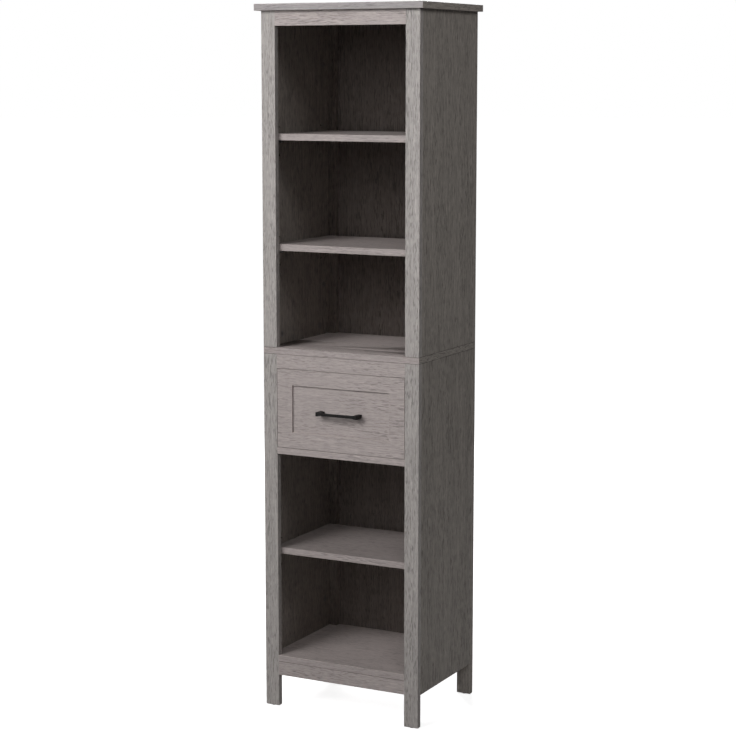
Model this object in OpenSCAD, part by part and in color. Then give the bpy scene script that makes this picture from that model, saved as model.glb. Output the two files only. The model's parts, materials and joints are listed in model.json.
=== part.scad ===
// Free-standing bathroom storage tower in grey wood-grain boards: three open compartments, a
// drawer and two more open compartments between four corner stiles, on which it stands.
// The tower stands on z = 0 with its front to -Y. The origin is the middle of its footprint,
// measured from the grip of the drawer handle to the nails in the back panels. The modules measure from
// the front face of the stiles, at y = 0, and place() moves them onto the origin. A pair of
// mirrored pieces is drawn once, for the +X side.

/* [Carcass] */
// Width over the side panels
body_w = 400; // [360:5:480]
// Depth from the front face of the stiles to the back face of the rear stiles
body_d = 302; // [296:1:380]
// Thickness of the carcass boards
board_t = 15; // [14:0.5:18]
// Width of the corner stiles
stile_w = 35; // [32:1:45]
// Thickness of the back panels
back_t = 2.5; // [2:0.5:4]

/* [Heights] */
// Floor to the underside of the apron rail and the lower side panels
leg_clearance = 77; // [60:1:100]
// Height of the apron rail
apron_h = 33; // [30:1:45]
// Floor to the underside of the mid board
lower_unit_h = 843; // [810:1:900]
// Length of the upper side panels and stiles
upper_unit_h = 765; // [720:1:850]
// Height of the rail under the top panel
top_rail_h = 34; // [30:1:50]
// Height of the rail over the drawer
drawer_rail_h = 33; // [30:1:45]
// Height of the opening that the drawer fills
drawer_opening_h = 186; // [180:1:205]

/* [Top panel] */
// Overhang of the top panel past each side
top_side_overhang = 12; // [6:0.5:20]
// Overhang of the top panel past the front
top_front_overhang = 12; // [6:0.5:18]

/* [Shelves] */
// Bottom panel to the underside of the lower shelf
lower_shelf_rise = 242.5; // [190:0.5:300]
// Mid board to the underside of the middle shelf
middle_shelf_rise = 222.5; // [190:0.5:260]
// Mid board to the underside of the high shelf
high_shelf_rise = 474.5; // [430:0.5:520]
// Gap round the edges of a loose shelf
shelf_gap = 1; // [0.5:0.25:2]

/* [Shelf pins] */
// Diameter of the peg in the side panel
pin_d = 5; // [4:0.5:6]
// Depth of the peg in the side panel
pin_depth = 9; // [6:0.5:10]
// Diameter of the head under the shelf
pin_head_d = 8; // [7:0.5:10]
// Length of the head
pin_head_l = 7; // [5:0.5:10]
// Stile to the centre of the pin
pin_inset = 37; // [32:1:60]
// Height between the holes of a row
pin_pitch = 32; // [20:1:40]

/* [Drawer front] */
// Gap round the drawer front
drawer_gap = 1; // [0.75:0.25:3]
// Width of the raised border at the sides of the recess
border_side_w = 39; // [30:1:50]
// Width of the raised border above and below the recess
border_end_w = 37; // [30:1:42]
// Depth of the recess
recess_depth = 5; // [3:0.5:8]

/* [Drawer box] */
// Thickness of the sides and back of the box
box_t = 12; // [11:0.5:14]
// Height of the sides and back of the box
box_h = 120; // [100:1:130]
// Thickness of the drawer bottom
box_bottom_t = 3; // [2.5:0.5:5]
// Depth of the groove that holds the drawer bottom
groove_depth = 5; // [3:0.5:6]
// Lower edge of the box to the drawer bottom
groove_rise = 12; // [11:0.5:18]

/* [Handle] */
// Distance between the two screws of the handle
handle_pitch = 96; // [64:16:128]
// Panel to the front of the grip
handle_reach = 25; // [24:0.5:35]
// Middle of the recess down to the middle of the grip
handle_drop = 3.5; // [0:0.5:10]
// Height of the grip
grip_h = 6; // [5:0.5:8]
// Thickness of the grip from front to back
grip_t = 7; // [5:0.5:8]
// Width of each foot
foot_w = 12; // [10:0.5:16]
// Height of each foot
foot_h = 9; // [8:0.5:12]
// Length over which the grip thickens into the foot
flare_l = 9; // [4:0.5:12]
// Radius of the outer bends
handle_bend_r = 3; // [2:0.5:8]

/* [Runners] */
// Length of the runners and of the drawer box
runner_l = 250; // [200:10:250]
// Space between the drawer box and the batten
runner_space = 12.5; // [12:0.25:14]
// Length of the runner that stays in the carcass when the drawer is open
runner_overlap = 60; // [55:5:90]
// Divider to the lower flange of the runner
runner_rise = 20; // [16:1:30]
// Thickness of the sheet steel
steel_t = 1.2; // [1:0.1:1.4]
// Outer radius of the bends in the sheet steel
bend_r = 2; // [1.6:0.1:2.5]
// Diameter of the rollers
roller_d = 18; // [16:0.5:20]
// Width of the rollers
roller_w = 6; // [5:0.25:6.5]
// Diameter of the axles
axle_d = 5; // [4:0.5:6]
// End of the runner to the centre of its roller
roller_inset = 12; // [11:0.5:16]
// Running gap between a roller and the flanges, and between the box and the stop
running_gap = 0.3; // [0.2:0.05:0.5]
// Height of the batten that carries a runner
batten_h = 45; // [40:1:60]

/* [Fasteners] */
// Diameter of the cam locks
cam_d = 15; // [12:0.5:16]
// Joint face to the centre of the cam lock
cam_reach = 24; // [20:1:30]
// Board left under a cam lock
cam_floor = 2.5; // [2:0.5:4]
// Diameter of the cam bolt in the edge of the board
bolt_d = 6; // [5:0.5:7]
// Diameter of the cam bolt's thread
bolt_thread_d = 5; // [4:0.5:6]
// Depth of the thread in the other board
bolt_depth = 11; // [8:0.5:12]
// Diameter of the dowels
dowel_d = 8; // [6:0.5:9]
// Length of the dowels
dowel_l = 30; // [26:1:34]
// Front and back edge to the joints along a board's end
joint_inset = 60; // [50:1:75]
// Shift that keeps the joints above and below the mid board apart
joint_stagger = 30; // [24:1:34]
// End of a side panel to the cam lock that holds its stile
stile_cam_inset = 120; // [100:1:130]
// End of a side panel to the dowel that locates its stile
stile_dowel_inset = 60; // [50:1:80]
// Middle of a rail to the dowels in its upper edge
rail_dowel_x = 100; // [60:5:120]
// Gap round a fastener in its hole
fit_gap = 0.1; // [0.05:0.05:0.2]
// Diameter of the wood screws
screw_d = 4; // [3.5:0.5:4.5]
// Diameter of the screw heads
screw_head_d = 7; // [6.5:0.5:8]
// Diameter of the nails
nail_d = 1.5; // [1.2:0.1:2]
// Length of the nails under the head
nail_l = 14; // [10:1:16]
// Greatest distance between two nails up a stile
nail_pitch = 130; // [90:10:160]

/* [Feet] */
// Diameter of the glides under the legs
glide_d = 12; // [10:0.5:14]
// Thickness of the glides
glide_h = 1.5; // [1:0.5:3]

/* [Hidden] */
$fn = 64;
eps = 0.01;

// Colours of the materials
laminate = [0.60, 0.57, 0.55];
interior = [0.52, 0.49, 0.47];
black_metal = [0.06, 0.06, 0.065];
steel = [0.72, 0.73, 0.74];
zinc = [0.66, 0.67, 0.68];
nylon = [0.90, 0.90, 0.88];
birch = [0.80, 0.68, 0.50];
dark_plastic = [0.12, 0.12, 0.12];

// Planes of the carcass, from the middle of the width, the front face and the floor
half_w = body_w / 2;
inner_x = half_w - board_t;
stile_x = half_w - stile_w;
side_mid_x = half_w - board_t / 2;
rear_y = body_d - board_t;
bottom_z = leg_clearance + apron_h;
floor_z = bottom_z + board_t;
drawer_top_z = lower_unit_h - drawer_rail_h;
drawer_floor_z = drawer_top_z - drawer_opening_h;
divider_z = drawer_floor_z - board_t;
mid_top_z = lower_unit_h + board_t;
top_z = mid_top_z + upper_unit_h;
shelf_z = [mid_top_z + high_shelf_rise, mid_top_z + middle_shelf_rise, floor_z + lower_shelf_rise];
upper_span = [mid_top_z, top_z];
lower_span = [leg_clearance, lower_unit_h];

// Drawer front and handle
front_half_w = stile_x - drawer_gap;
front_z = [drawer_floor_z + drawer_gap, drawer_top_z - drawer_gap];
recess_half_w = front_half_w - border_side_w;
recess_z = [front_z[0] + border_end_w, front_z[1] - border_end_w];
handle_z = (recess_z[0] + recess_z[1]) / 2 - handle_drop;
handle_half_l = handle_pitch / 2 + foot_w / 2;
handle_front_y = recess_depth - handle_reach;
handle_screw_depth = 10;
nail_head_t = 0.7;
front_y = -(body_d + back_t + nail_head_t - max(-handle_front_y, top_front_overhang)) / 2;

// Drawer box and runners, for the +X side
runner_setback = 1;
flange_gap = 1.8;
box_x = stile_x - runner_space;
box_inner_x = box_x - box_t;
box_back_y = board_t + runner_l;
box_z = drawer_floor_z + runner_rise;
box_bottom_z = box_z + groove_rise;
runner_y = board_t + runner_setback;
roller_z = box_z + running_gap + roller_d / 2;
ride_z = roller_z + roller_d / 2 + running_gap;
channel_top_z = ride_z + steel_t + 2 * running_gap;
front_roller_y = runner_y + roller_inset;
rear_roller_y = box_back_y - roller_inset;
drawer_travel = runner_l - runner_overlap;
roller_play = 0.3;
rivet_t = 0.8;
rivet_d = axle_d + 3;
channel_x = stile_x - steel_t;
channel_edge_x = box_x + steel_t + flange_gap;
stop_h = 4;
stop_bite = sqrt(pow(roller_d / 2, 2) - pow(roller_z - box_z - stop_h, 2));
stop_y = rear_roller_y - drawer_travel - stop_bite - running_gap;
batten_z = roller_z - batten_h / 2;
batten_screw_z = batten_z + batten_h - screw_head_d / 2 - 1.5;
runner_screw_inset = 45;
flange_screw_inset = 36;
batten_screw_inset = 55;
box_joint_inset = 30;
screw_head_t = 1.2;
batten_screw_l = stile_w - board_t + 10;
runner_screw_l = 14;
flange_screw_l = 9;
box_screw_l = 35;
box_joint_z = [box_z + box_joint_inset, box_z + box_h - box_joint_inset];

// A cam joint is [point on the joint face, direction of the bolt, direction the cam looks].
function stile_cams(span) = [
    for (edge = [[board_t, 1], [rear_y, -1]], z = [span[0] + stile_cam_inset, span[1] - stile_cam_inset])
        [[side_mid_x, edge[0], z], [0, edge[1], 0], [-1, 0, 0]]
];
function end_cams(z, up, inset) = [
    for (y = [inset, body_d - inset]) [[side_mid_x, y, z], [0, 0, up], [-1, 0, 0]]
];
function board_cams(z) = [
    for (y = [joint_inset, body_d - joint_inset])
        [[inner_x, y, z + board_t / 2], [-1, 0, 0], [0, 0, -1]]
];
// A dowel joint is [point on the joint face, direction in which the dowel reaches furthest].
function stile_dowels(span) = [
    for (edge = [[board_t, 1], [rear_y, -1]], z = [span[0] + stile_dowel_inset, span[1] - stile_dowel_inset])
        [[side_mid_x, edge[0], z], [0, edge[1], 0]]
];
function end_dowel(z, up, y) = [[[side_mid_x, y, z], [0, 0, up]]];
function board_dowel(z) = [[[inner_x, body_d / 2, z + board_t / 2], [-1, 0, 0]]];
function rail_end_dowel(z, h) = [[[stile_x, board_t / 2, z + h / 2], [-1, 0, 0]]];
function rail_top_dowel(z) = [[[rail_dowel_x, board_t / 2, z], [0, 0, -1]]];

over_mid_dowel_y = body_d / 2 - joint_stagger / 2;
under_mid_dowel_y = body_d / 2 + joint_stagger / 2;
upper_end_cams = concat(end_cams(mid_top_z, 1, joint_inset), end_cams(top_z, -1, joint_inset));
lower_end_cams = end_cams(lower_unit_h, -1, joint_inset + joint_stagger);
lower_board_cams = concat(board_cams(divider_z), board_cams(bottom_z));
upper_end_dowels = concat(
    end_dowel(mid_top_z, 1, over_mid_dowel_y), end_dowel(top_z, -1, body_d / 2));
lower_end_dowels = end_dowel(lower_unit_h, -1, under_mid_dowel_y);
lower_board_dowels = concat(board_dowel(divider_z), board_dowel(bottom_z));
top_rail_end = rail_end_dowel(top_z - top_rail_h, top_rail_h);
drawer_rail_end = rail_end_dowel(drawer_top_z, drawer_rail_h);
apron_end = rail_end_dowel(leg_clearance, apron_h);
carcass_cams = concat(
    stile_cams(upper_span), stile_cams(lower_span), upper_end_cams, lower_end_cams, lower_board_cams);
carcass_dowels = concat(
    stile_dowels(upper_span), stile_dowels(lower_span), upper_end_dowels, lower_end_dowels,
    lower_board_dowels, top_rail_end, drawer_rail_end, apron_end,
    rail_top_dowel(top_z), rail_top_dowel(lower_unit_h), rail_top_dowel(bottom_z));
drawer_cams = [
    for (z = box_joint_z) [[box_inner_x + box_t / 2, board_t, z], [0, 1, 0], [-1, 0, 0]]
];

// Nails, as [x, z] on the +X half of a back panel
back_seam_z = lower_unit_h + board_t / 2;
nail_inset = 12;
nail_end_gap = 22;
nail_x = stile_x + nail_inset;
board_nail_x = stile_x / 2;
function stile_nails(z0, z1, n) = [for (i = [0:n]) [nail_x, z0 + (z1 - z0) * i / n]];
function nail_steps(z0, z1) = ceil((z1 - z0) / nail_pitch);
upper_nail_span = [mid_top_z + nail_end_gap, top_z - nail_end_gap];
lower_nail_span = [bottom_z + nail_end_gap, lower_unit_h - nail_end_gap];
upper_nails = concat(
    stile_nails(upper_nail_span[0], upper_nail_span[1], nail_steps(upper_nail_span[0], upper_nail_span[1])),
    [[board_nail_x, mid_top_z - board_t / 4]]);
lower_nails = concat(
    stile_nails(lower_nail_span[0], lower_nail_span[1], nail_steps(lower_nail_span[0], lower_nail_span[1])),
    [for (z = [lower_unit_h + board_t / 4, divider_z + board_t / 2, bottom_z + board_t / 2])
        [board_nail_x, z]]);

// Shelf pins, as [y, z] of the peg under a shelf
pin_y = [board_t + pin_inset, rear_y - pin_inset];
function pin_row(z) = [for (y = pin_y, k = [-1:1]) [y, z - pin_head_d / 2 + k * pin_pitch]];

module place() {
    translate([0, front_y, 0]) children();
}

module on_left() {
    mirror([1, 0, 0]) children();
}

module both_sides() {
    children();
    mirror([1, 0, 0]) children();
}

// Turns +Z to one of the six axis directions
module along(v) {
    rotate(v.x != 0 ? [0, 90 * v.x, 0] : v.y != 0 ? [-90 * v.y, 0, 0] : [v.z > 0 ? 0 : 180, 0, 0])
        children();
}

// Box between two corners
module block(a, b) {
    translate(a) cube(b - a);
}

// Raises an XZ outline from y0 to y1
module extrude_y(y0, y1) {
    translate([0, y1, 0]) rotate([90, 0, 0]) linear_extrude(y1 - y0) children();
}

module rod(p, v, d, from, to) {
    translate(p + from * v) along(v) cylinder(d = d, h = to - from);
}

// Cam lock pocket with its bolt hole, in a board of thickness t
module cam_pocket(joint, t) {
    depth = t - cam_floor;
    translate(joint[0] + cam_reach * joint[1] + t / 2 * joint[2])
        along(-joint[2])
            translate([0, 0, -eps]) cylinder(d = cam_d + 2 * fit_gap, h = depth + 2 * eps);
    rod(joint[0], joint[1], bolt_d + 1, -eps, cam_reach);
}

module cam_pockets(joints, t = board_t) {
    for (j = joints) cam_pocket(j, t);
}

module bolt_holes(joints) {
    for (j = joints) rod(j[0], j[1], bolt_thread_d, -bolt_depth - fit_gap, eps);
}

module dowel_holes(joints) {
    for (j = joints)
        rod(j[0], j[1], dowel_d + 2 * fit_gap, -dowel_l / 3 - 0.5, dowel_l * 2 / 3 + 0.5);
}

// Cam lock: a short drum with a cross slot in its face and a mouth for the bolt's head
module cam_lock(joint, t) {
    slot_l = cam_d * 0.6;
    slot_w = 1.6;
    difference() {
        translate(joint[0] + cam_reach * joint[1] + t / 2 * joint[2])
            along(-joint[2]) difference() {
                cylinder(d = cam_d, h = t - cam_floor);
                for (turn = [0, 90])
                    rotate(turn)
                        translate([-slot_l / 2, -slot_w / 2, -eps]) cube([slot_l, slot_w, 2]);
            }
        rod(joint[0], joint[1], bolt_d + 1, 0, cam_reach + bolt_d);
    }
}

// Cam bolt: a thread, a shank and a head on a narrow neck
module cam_bolt(joint) {
    thread_r = bolt_thread_d / 2 - fit_gap;
    shank_r = bolt_d / 2;
    neck_r = bolt_d / 3;
    head_l = bolt_d / 2;
    neck_l = 3;
    neck_z = cam_reach - head_l / 2 - neck_l;
    translate(joint[0]) along(joint[1]) rotate_extrude()
        polygon([
            [0, -bolt_depth], [thread_r - 0.8, -bolt_depth], [thread_r, -bolt_depth + 2],
            [thread_r, 0], [shank_r, 0], [shank_r, neck_z - 1], [neck_r, neck_z],
            [neck_r, neck_z + neck_l], [shank_r, neck_z + neck_l],
            [shank_r, neck_z + neck_l + head_l], [0, neck_z + neck_l + head_l]
        ]);
}

module dowel(joint) {
    r = dowel_d / 2;
    translate(joint[0] - dowel_l / 3 * joint[1]) along(joint[1]) rotate_extrude()
        polygon([
            [0, 0], [r - 1, 0], [r, 1], [r, dowel_l - 1], [r - 1, dowel_l], [0, dowel_l]
        ]);
}

// Screw with a round head, whose shank starts at p and runs along v
module pan_screw(p, v, l, d = screw_d, head_d = screw_head_d, head_t = screw_head_t) {
    r = d / 2 - fit_gap;
    translate(p) along(v) rotate_extrude()
        polygon([
            [0, -head_t], [head_d / 2 - head_t / 2, -head_t], [head_d / 2, -head_t / 3],
            [head_d / 2, 0], [r, 0], [r, l - 2], [0, l]
        ]);
}

// Screw with a countersunk head, flush with the face at p
module flush_screw(p, v, l) {
    r = screw_d / 2 - fit_gap;
    head_r = screw_head_d / 2 - fit_gap;
    sink = head_r - r;
    translate(p) along(v) rotate_extrude()
        polygon([[0, 0], [head_r, 0], [r, sink], [r, l - 2], [0, l]]);
}

module screw_hole(p, v, l) {
    rod(p, v, screw_d, -eps, l + fit_gap);
}

module flush_screw_hole(p, v, l) {
    screw_hole(p, v, l);
    translate(p) along(v)
        cylinder(d1 = screw_head_d, d2 = screw_d, h = (screw_head_d - screw_d) / 2);
}

// Board across the carcass, with its four corners notched round the stiles
module notched_board(z) {
    difference() {
        block([-inner_x, 0, z], [inner_x, body_d, z + board_t]);
        both_sides() for (y = [[-eps, board_t], [rear_y, body_d + eps]])
            block([stile_x, y[0], z - eps], [inner_x + eps, y[1], z + board_t + eps]);
    }
}

module side_panel(span) {
    block([inner_x, board_t, span[0]], [half_w, rear_y, span[1]]);
}

module stile(y, z0, z1) {
    block([stile_x, y, z0], [half_w, y + board_t, z1]);
}

module rail(z, h) {
    difference() {
        block([-stile_x, 0, z], [stile_x, board_t, z + h]);
        both_sides() dowel_holes(concat(rail_end_dowel(z, h), rail_top_dowel(z + h)));
    }
}

module nail_holes(nails) {
    for (n = nails)
        rod([n.x, body_d + back_t, n.y], [0, -1, 0], nail_d + 2 * fit_gap, -eps, nail_l + fit_gap);
}

module pin_holes(shelves) {
    for (z = shelves, p = pin_row(z))
        rod([inner_x, p.x, p.y], [1, 0, 0], pin_d + 2 * fit_gap, -eps, pin_depth + fit_gap);
}

module loose_shelf(z) {
    block([-inner_x + shelf_gap, board_t + shelf_gap, z],
        [inner_x - shelf_gap, rear_y - shelf_gap, z + board_t]);
}

module glide_hole(y) {
    rod([stile_x + stile_w / 2, y, glide_h], [0, 0, 1], nail_d + 2 * fit_gap, -eps, nail_l);
}

// Boards across the carcass

module top_panel() {
    color(laminate) place() difference() {
        block([-half_w - top_side_overhang, -top_front_overhang, top_z],
            [half_w + top_side_overhang, body_d + back_t, top_z + board_t]);
        both_sides() {
            bolt_holes(end_cams(top_z, -1, joint_inset));
            dowel_holes(concat(end_dowel(top_z, -1, body_d / 2), rail_top_dowel(top_z)));
        }
    }
}

module mid_board() {
    color(laminate) place() difference() {
        block([-half_w, 0, lower_unit_h], [half_w, body_d, mid_top_z]);
        both_sides() {
            bolt_holes(concat(end_cams(mid_top_z, 1, joint_inset), lower_end_cams));
            dowel_holes(concat(
                end_dowel(mid_top_z, 1, over_mid_dowel_y), lower_end_dowels,
                rail_top_dowel(lower_unit_h)));
            nail_holes([upper_nails[len(upper_nails) - 1], lower_nails[len(lower_nails) - 3]]);
        }
    }
}

module drawer_divider() {
    color(laminate) place() difference() {
        notched_board(divider_z);
        both_sides() {
            cam_pockets(board_cams(divider_z));
            dowel_holes(board_dowel(divider_z));
            nail_holes([lower_nails[len(lower_nails) - 2]]);
        }
    }
}

module bottom_panel() {
    color(laminate) place() difference() {
        notched_board(bottom_z);
        both_sides() {
            cam_pockets(board_cams(bottom_z));
            dowel_holes(concat(board_dowel(bottom_z), rail_top_dowel(bottom_z)));
            nail_holes([lower_nails[len(lower_nails) - 1]]);
        }
    }
}

// Side panels

module upper_side() {
    difference() {
        side_panel(upper_span);
        cam_pockets(concat(stile_cams(upper_span), upper_end_cams));
        dowel_holes(concat(stile_dowels(upper_span), upper_end_dowels));
        pin_holes([shelf_z[0], shelf_z[1]]);
    }
}

module lower_side() {
    difference() {
        side_panel(lower_span);
        cam_pockets(concat(stile_cams(lower_span), lower_end_cams));
        dowel_holes(concat(stile_dowels(lower_span), lower_end_dowels, lower_board_dowels));
        bolt_holes(lower_board_cams);
        pin_holes([shelf_z[2]]);
        for (y = batten_screw_y) screw_hole([stile_x, y, batten_screw_z], [1, 0, 0], batten_screw_l);
    }
}

module upper_side_left() {
    color(laminate) place() on_left() upper_side();
}

module upper_side_right() {
    color(laminate) place() upper_side();
}

module lower_side_left() {
    color(laminate) place() on_left() lower_side();
}

module lower_side_right() {
    color(laminate) place() lower_side();
}

// Stiles and legs

module upper_front_stile() {
    difference() {
        stile(0, mid_top_z, top_z);
        bolt_holes(stile_cams(upper_span));
        dowel_holes(concat(stile_dowels(upper_span), top_rail_end));
    }
}

module upper_rear_stile() {
    difference() {
        stile(rear_y, mid_top_z, top_z);
        bolt_holes(stile_cams(upper_span));
        dowel_holes(stile_dowels(upper_span));
        nail_holes(upper_nails);
    }
}

module front_leg() {
    difference() {
        stile(0, glide_h, lower_unit_h);
        bolt_holes(stile_cams(lower_span));
        dowel_holes(concat(stile_dowels(lower_span), drawer_rail_end, apron_end));
        glide_hole(board_t / 2);
    }
}

module rear_leg() {
    difference() {
        stile(rear_y, glide_h, lower_unit_h);
        bolt_holes(stile_cams(lower_span));
        dowel_holes(stile_dowels(lower_span));
        nail_holes(lower_nails);
        glide_hole(rear_y + board_t / 2);
    }
}

module upper_front_stile_left() {
    color(laminate) place() on_left() upper_front_stile();
}

module upper_front_stile_right() {
    color(laminate) place() upper_front_stile();
}

module front_leg_left() {
    color(laminate) place() on_left() front_leg();
}

module front_leg_right() {
    color(laminate) place() front_leg();
}

module upper_rear_stile_left() {
    color(laminate) place() on_left() upper_rear_stile();
}

module upper_rear_stile_right() {
    color(laminate) place() upper_rear_stile();
}

module rear_leg_left() {
    color(laminate) place() on_left() rear_leg();
}

module rear_leg_right() {
    color(laminate) place() rear_leg();
}

// Rails between the front stiles

module top_rail() {
    color(laminate) place() rail(top_z - top_rail_h, top_rail_h);
}

module drawer_rail() {
    color(laminate) place() rail(drawer_top_z, drawer_rail_h);
}

module apron_rail() {
    color(laminate) place() rail(leg_clearance, apron_h);
}

// Loose shelves

module high_shelf() {
    color(interior) place() loose_shelf(shelf_z[0]);
}

module middle_shelf() {
    color(interior) place() loose_shelf(shelf_z[1]);
}

module lower_shelf() {
    color(interior) place() loose_shelf(shelf_z[2]);
}

// Back panels, nailed to the rear stiles and to the edges of the boards

module back_panel(z0, z1, nails) {
    edge_gap = 2;
    difference() {
        block([-half_w + edge_gap, body_d, z0], [half_w - edge_gap, body_d + back_t, z1]);
        both_sides() nail_holes(nails);
    }
}

module upper_back_panel() {
    color(interior) place() back_panel(back_seam_z + 0.5, top_z, upper_nails);
}

module lower_back_panel() {
    color(interior) place() back_panel(bottom_z, back_seam_z - 0.5, lower_nails);
}

// Battens and runners

batten_screw_y = [board_t + batten_screw_inset, rear_y - batten_screw_inset];
runner_screw_y = [for (y = [runner_screw_inset, runner_l / 2, runner_l - runner_screw_inset]) runner_y + y];
flange_screw_y = [runner_y + flange_screw_inset, rear_roller_y - flange_screw_inset];

module runner_batten() {
    difference() {
        block([stile_x, board_t, batten_z], [inner_x, rear_y, batten_z + batten_h]);
        for (y = batten_screw_y)
            flush_screw_hole([stile_x, y, batten_screw_z], [1, 0, 0], batten_screw_l);
        for (y = runner_screw_y)
            screw_hole([channel_x, y, roller_z], [1, 0, 0], runner_screw_l);
    }
}

module runner_batten_left() {
    color(birch) place() on_left() runner_batten();
}

module runner_batten_right() {
    color(birch) place() runner_batten();
}

// Bent sheet in section: legs of outer length w along x and h along y from a rounded corner
module bent_sheet(w, h) {
    translate([bend_r, 0]) square([w - bend_r, steel_t]);
    translate([0, bend_r]) square([steel_t, h - bend_r]);
    intersection() {
        translate([bend_r, bend_r]) difference() {
            circle(bend_r);
            circle(bend_r - steel_t);
        }
        square(bend_r);
    }
}

// Rivet that carries a roller: an axle with a head at its free end, from p along v
module roller_axle(p, v) {
    axle_l = roller_w + 2 * roller_play;
    rod(p, v, axle_d, -eps, axle_l + eps);
    rod(p, v, rivet_d, axle_l, axle_l + rivet_t);
}

// Channel of the carcass, open to the drawer, with its roller's axle at the front, a stop for
// the closed drawer at the back and a tab that halts the open one
module cabinet_runner() {
    wide = stile_x - channel_edge_x;
    half_h = (channel_top_z + steel_t - (box_z - steel_t)) / 2;
    rear_stop_y = rear_roller_y + stop_bite + running_gap;
    difference() {
        union() {
            extrude_y(runner_y, rear_stop_y + steel_t) {
                translate([stile_x, box_z - steel_t]) mirror([1, 0]) bent_sheet(wide, half_h);
                translate([stile_x, channel_top_z + steel_t]) rotate(180) bent_sheet(wide, half_h);
            }
            for (y = [rear_stop_y, stop_y - steel_t])
                block([channel_edge_x, y, box_z - eps], [stile_x - bend_r, y + steel_t, box_z + stop_h]);
            roller_axle([channel_x, front_roller_y, roller_z], [-1, 0, 0]);
        }
        for (y = runner_screw_y)
            rod([channel_x, y, roller_z], [1, 0, 0], screw_d, -eps, steel_t + eps);
    }
}

// Angle under the drawer's side, with a flange that rides on the carcass roller
module drawer_runner() {
    under_w = box_t - 1;
    web_x = box_x + steel_t;
    ride_w = channel_x - flange_gap - box_x;
    mid_z = (box_z + ride_z) / 2;
    flange_end_y = rear_roller_y - roller_d / 2 - 2;
    difference() {
        union() {
            extrude_y(runner_y, box_back_y)
                translate([web_x, box_z - steel_t])
                    mirror([1, 0]) bent_sheet(under_w + steel_t, mid_z - box_z + steel_t);
            extrude_y(runner_y, flange_end_y)
                translate([box_x, ride_z + steel_t])
                    mirror([0, 1]) bent_sheet(ride_w, ride_z + steel_t - mid_z);
            block([box_x, flange_end_y - eps, mid_z - eps], [web_x, box_back_y, ride_z - bend_r]);
            roller_axle([web_x, rear_roller_y, roller_z], [1, 0, 0]);
        }
        for (y = flange_screw_y)
            rod([box_x - box_t / 2, y, box_z - steel_t], [0, 0, 1], screw_d, -eps, steel_t + eps);
    }
}

// Nylon roller with a hollowed face, its near face at p
module roller(p, v) {
    dish_d = roller_d - 4;
    hub_d = axle_d + 3;
    dish_t = 1;
    translate(p + roller_play * v) along(v) difference() {
        cylinder(d = roller_d, h = roller_w);
        translate([0, 0, -eps]) cylinder(d = axle_d + fit_gap, h = roller_w + 2 * eps);
        translate([0, 0, roller_w - dish_t]) difference() {
            cylinder(d = dish_d, h = dish_t + eps);
            translate([0, 0, -eps]) cylinder(d = hub_d, h = dish_t + 3 * eps);
        }
    }
}

module cabinet_roller() {
    roller([channel_x, front_roller_y, roller_z], [-1, 0, 0]);
}

module drawer_roller() {
    roller([box_x + steel_t, rear_roller_y, roller_z], [1, 0, 0]);
}

module cabinet_runner_left() {
    color(steel) place() on_left() cabinet_runner();
}

module cabinet_runner_right() {
    color(steel) place() cabinet_runner();
}

module cabinet_roller_left() {
    color(nylon) place() on_left() cabinet_roller();
}

module cabinet_roller_right() {
    color(nylon) place() cabinet_roller();
}

module drawer_runner_left() {
    color(steel) place() on_left() drawer_runner();
}

module drawer_runner_right() {
    color(steel) place() drawer_runner();
}

module drawer_roller_left() {
    color(nylon) place() on_left() drawer_roller();
}

module drawer_roller_right() {
    color(nylon) place() drawer_roller();
}

// Drawer

bottom_slot_z = [box_bottom_z - fit_gap, box_bottom_z + box_bottom_t + fit_gap];
box_screw_y = box_back_y - box_t / 2;
handle_screws_at = [for (s = [-1, 1]) [s * handle_pitch / 2, board_t, handle_z]];

module drawer_front() {
    slot_half_w = box_inner_x + groove_depth;
    color(laminate) place() difference() {
        block([-front_half_w, 0, front_z[0]], [front_half_w, board_t, front_z[1]]);
        block([-recess_half_w, -eps, recess_z[0]], [recess_half_w, recess_depth, recess_z[1]]);
        block([-slot_half_w, board_t - groove_depth, bottom_slot_z[0]],
            [slot_half_w, board_t + eps, bottom_slot_z[1]]);
        both_sides() bolt_holes(drawer_cams);
        for (p = handle_screws_at) rod(p, [0, -1, 0], screw_d + 0.5, -eps, board_t);
    }
}

module drawer_side() {
    edge_break = bend_r - steel_t + eps;
    difference() {
        block([box_inner_x, board_t, box_z], [box_x, box_back_y, box_z + box_h]);
        extrude_y(board_t - eps, box_back_y + eps) translate([box_x, box_z])
            polygon([[-edge_break, -eps], [eps, -eps], [eps, edge_break]]);
        block([box_inner_x - eps, board_t - eps, bottom_slot_z[0]],
            [box_inner_x + groove_depth, box_back_y - box_t + groove_depth, bottom_slot_z[1]]);
        cam_pockets(drawer_cams, box_t);
        for (z = box_joint_z) flush_screw_hole([box_x, box_screw_y, z], [-1, 0, 0], box_screw_l);
        for (y = flange_screw_y)
            screw_hole([box_x - box_t / 2, y, box_z - steel_t], [0, 0, 1], flange_screw_l);
    }
}

module drawer_side_left() {
    color(interior) place() on_left() drawer_side();
}

module drawer_side_right() {
    color(interior) place() drawer_side();
}

module drawer_back() {
    color(interior) place() difference() {
        block([-box_inner_x, box_back_y - box_t, box_z], [box_inner_x, box_back_y, box_z + box_h]);
        block([-box_inner_x - eps, box_back_y - box_t - eps, bottom_slot_z[0]],
            [box_inner_x + eps, box_back_y - box_t + groove_depth, bottom_slot_z[1]]);
        both_sides() for (z = box_joint_z) screw_hole([box_x, box_screw_y, z], [-1, 0, 0], box_screw_l);
    }
}

module drawer_bottom() {
    reach = groove_depth - fit_gap;
    color(interior) place()
        block([-box_inner_x - reach, board_t - reach, box_bottom_z],
            [box_inner_x + reach, box_back_y - box_t + reach, box_bottom_z + box_bottom_t]);
}

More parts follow.
